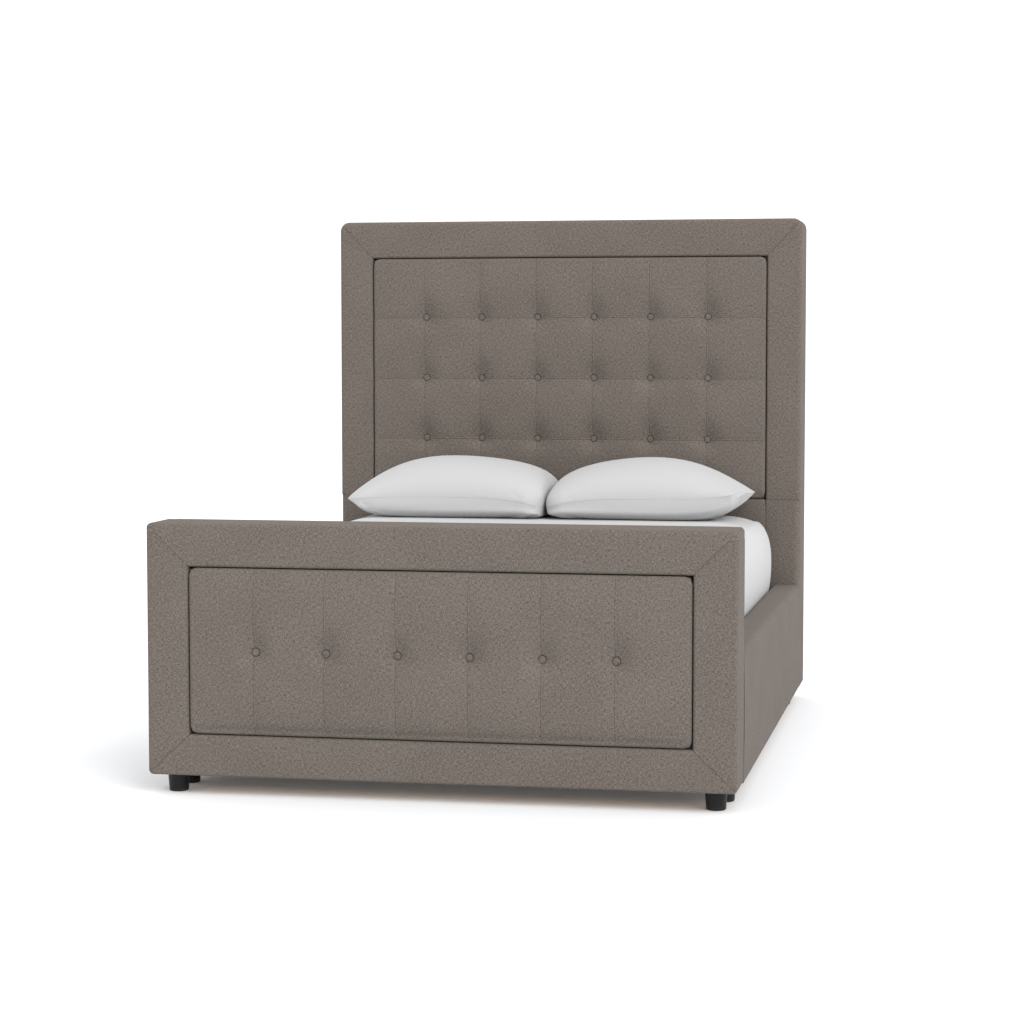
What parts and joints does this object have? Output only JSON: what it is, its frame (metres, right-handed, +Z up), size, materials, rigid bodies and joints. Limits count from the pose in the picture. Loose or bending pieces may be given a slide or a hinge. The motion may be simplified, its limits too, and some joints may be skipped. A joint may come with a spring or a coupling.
{
  "type": "upholstered headboard bed",
  "caption": "Fabric-upholstered platform bed with a tall button-tufted headboard and matching tufted footboard, padded side rails, slats, mattress and pillows.",
  "frame": {"origin": "on the floor, under the middle of the whole bed", "axes": "+Z up, +Y from the foot of the bed towards the headboard, +X to the right when looking from the foot towards the head"},
  "size_m": [1.77, 2.45, 1.8105],
  "materials": {
    "upholstery_plain": "woven taupe tweed",
    "upholstery_tufted": "woven taupe tweed, button tufted",
    "covered_button": "woven taupe tweed over a domed button",
    "black_foot": "satin black",
    "plywood": "raw birch plywood",
    "frame_timber": "planed softwood",
    "slat_timber": "planed pine",
    "zinc_steel": "zinc plated",
    "bolt_steel": "zinc plated",
    "glide_plastic": "moulded black",
    "mattress_ticking": "quilted knit ticking",
    "sheet_cotton": "white percale",
    "pillow_cotton": "white percale"
  },
  "bodies": {
    "bed_frame": {"beam_hangers": "zinc_steel", "bracket_bolts": "bolt_steel", "centre_beam": "frame_timber", "centre_leg_front": "frame_timber", "centre_leg_rear": "frame_timber", "footboard_back_cover": "upholstery_plain", "footboard_border_bottom": "upholstery_plain", "footboard_border_left": "upholstery_plain", "footboard_border_right": "upholstery_plain", "footboard_border_top": "upholstery_plain", "footboard_bottom_rail": "frame_timber", "footboard_buttons": "covered_button", "footboard_foot_left": "black_foot", "footboard_foot_right": "black_foot", "footboard_post_left": "frame_timber", "footboard_post_right": "frame_timber", "footboard_top_rail": "frame_timber", "footboard_tuft_board": "plywood", "footboard_tufted_panel": "upholstery_tufted", "headboard_back_cover": "upholstery_plain", "headboard_border_left": "upholstery_plain", "headboard_border_right": "upholstery_plain", "headboard_border_top": "upholstery_plain", "headboard_bottom_rail": "frame_timber", "headboard_buttons": "covered_button", "headboard_foot_left": "black_foot", "headboard_foot_right": "black_foot", "headboard_lower_board": "plywood", "headboard_lower_left": "upholstery_plain", "headboard_lower_panel": "upholstery_plain", "headboard_lower_right": "upholstery_plain", "headboard_middle_rail": "frame_timber", "headboard_post_left": "frame_timber", "headboard_post_right": "frame_timber", "headboard_top_rail": "frame_timber", "headboard_tuft_board": "plywood", "headboard_tufted_panel": "upholstery_tufted", "rail_beam_left": "plywood", "rail_beam_right": "plywood", "rail_brackets": "zinc_steel", "rail_cover_left": "upholstery_plain", "rail_cover_right": "upholstery_plain", "rail_feet": "black_foot", "slat_1": "slat_timber", "slat_2": "slat_timber", "slat_3": "slat_timber", "slat_4": "slat_timber", "slat_5": "slat_timber", "slat_6": "slat_timber", "slat_7": "slat_timber", "slat_8": "slat_timber", "slat_9": "slat_timber", "slat_ledger_left": "frame_timber", "slat_ledger_right": "frame_timber"},
    "mattress": {"mattress": "mattress_ticking", "fitted_sheet": "sheet_cotton"},
    "pillow_left": {"pillow_left": "pillow_cotton"},
    "pillow_right": {"pillow_right": "pillow_cotton"},
    "glide_front": {"levelling_glide_front": "glide_plastic"},
    "glide_rear": {"levelling_glide_rear": "glide_plastic"}
  },
  "joints": [
    {"name": "mattress_lift", "type": "slide", "parent": "bed_frame", "child": "mattress", "axis": [0, 0, 1], "range_m": [0, 0.5]},
    {"name": "pillow_left_lift", "type": "slide", "parent": "mattress", "child": "pillow_left", "axis": [0, 0, 1], "range_m": [0, 0.3]},
    {"name": "pillow_right_lift", "type": "slide", "parent": "mattress", "child": "pillow_right", "axis": [0, 0, 1], "range_m": [0, 0.3]},
    {"name": "glide_front_screw", "type": "slide", "parent": "bed_frame", "child": "glide_front", "axis": [0, 0, -1], "range_m": [0, 0.012]},
    {"name": "glide_rear_screw", "type": "slide", "parent": "bed_frame", "child": "glide_rear", "axis": [0, 0, -1], "range_m": [0, 0.012]}
  ]
}
